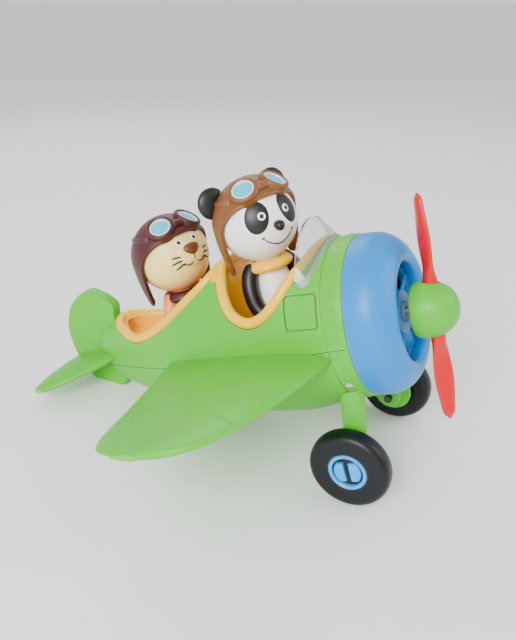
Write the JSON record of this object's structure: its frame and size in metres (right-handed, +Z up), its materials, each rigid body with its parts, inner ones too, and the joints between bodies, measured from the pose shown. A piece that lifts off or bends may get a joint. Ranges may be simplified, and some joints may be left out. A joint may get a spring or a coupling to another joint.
{
  "type": "toy airplane",
  "caption": "Chunky low-wing toy airplane on two wheels and a tail skid, with a free-turning propeller, rolling wheels and two lift-out animal pilots in open cockpits.",
  "frame": {"origin": "on the ground under the middle of the airplane's box, standing on both tyres and the tail skid", "axes": "+X towards the nose, +Y towards the port wing tip, +Z up; the fuselage is tipped back 17.3 degrees"},
  "size_m": [0.2732, 0.28, 0.1653],
  "materials": {
    "green_plastic": "satin moulded plastic, leaf green",
    "blue_plastic": "satin moulded plastic, mid blue",
    "red_plastic": "gloss moulded plastic, red",
    "yellow_plastic": "semi-gloss moulded plastic, warm yellow",
    "clear_plastic": "clear moulded plastic",
    "nylon": "natural nylon",
    "steel": "zinc-plated steel",
    "tyre_rubber": "satin black rubber",
    "hub_plastic": "semi-gloss moulded plastic, light blue",
    "panda_white": "smooth white vinyl with painted face",
    "tan_vinyl": "leather-look vinyl, tan",
    "black_vinyl": "smooth black vinyl",
    "lion_cream": "smooth cream vinyl with painted face",
    "maroon_vinyl": "leather-look vinyl, maroon brown",
    "goggle_lens": "painted light blue"
  },
  "bodies": {
    "airframe": {"axle_left": "steel", "axle_right": "steel", "body_screw_left": "steel", "body_screw_rear": "steel", "body_screw_right": "steel", "bulkhead": "blue_plastic", "cockpit_liner": "yellow_plastic", "cowl_grille": "blue_plastic", "engine_cowl": "blue_plastic", "fuselage_lower": "green_plastic", "fuselage_upper": "green_plastic", "gear_strut_left": "green_plastic", "gear_strut_right": "green_plastic", "hatch_left": "green_plastic", "hatch_right": "green_plastic", "shaft_bush": "nylon", "strut_screw_left": "steel", "strut_screw_right": "steel", "tail_fin": "green_plastic", "tail_pin": "steel", "tailplane_left": "green_plastic", "tailplane_right": "green_plastic", "windscreen": "clear_plastic", "wing_left": "green_plastic", "wing_right": "green_plastic", "wing_screw_left_1": "steel", "wing_screw_left_2": "steel", "wing_screw_right_1": "steel", "wing_screw_right_2": "steel"},
    "propeller_assembly": {"propeller": "red_plastic", "spinner": "green_plastic", "prop_shaft": "steel", "shaft_clip": "steel"},
    "wheel_left": {"tyre_left": "tyre_rubber", "wheel_hub_left": "hub_plastic", "wheel_cap_left": "hub_plastic"},
    "wheel_right": {"tyre_right": "tyre_rubber", "wheel_hub_right": "hub_plastic", "wheel_cap_right": "hub_plastic"},
    "panda_pilot": {"panda_body": "panda_white", "panda_cap": "tan_vinyl", "panda_ear_left": "black_vinyl", "panda_ear_right": "black_vinyl", "panda_head": "panda_white", "panda_lens_left": "goggle_lens", "panda_lens_right": "goggle_lens", "panda_scarf": "yellow_plastic"},
    "lion_passenger": {"lion_body": "lion_cream", "lion_cap": "maroon_vinyl", "lion_head": "lion_cream", "lion_lens_left": "goggle_lens", "lion_lens_right": "goggle_lens", "lion_scarf": "yellow_plastic"}
  },
  "joints": [
    {"name": "propeller_spin", "type": "hinge", "parent": "airframe", "child": "propeller_assembly", "pos_m": [0.11707, 0, 0.10264], "axis": [0.9546, 0, 0.2978], "continuous": true},
    {"name": "wheel_left_spin", "type": "hinge", "parent": "airframe", "child": "wheel_left", "pos_m": [0.09183, 0.0466, 0.0227], "axis": [0, 1, 0], "continuous": true},
    {"name": "wheel_right_spin", "type": "hinge", "parent": "airframe", "child": "wheel_right", "pos_m": [0.09183, -0.0466, 0.0227], "axis": [0, 1, 0], "continuous": true},
    {"name": "panda_lift", "type": "slide", "parent": "airframe", "child": "panda_pilot", "axis": [-0.2978, 0, 0.9546], "range_m": [0, 0.1]},
    {"name": "lion_lift", "type": "slide", "parent": "airframe", "child": "lion_passenger", "axis": [-0.2978, 0, 0.9546], "range_m": [0, 0.1]}
  ]
}
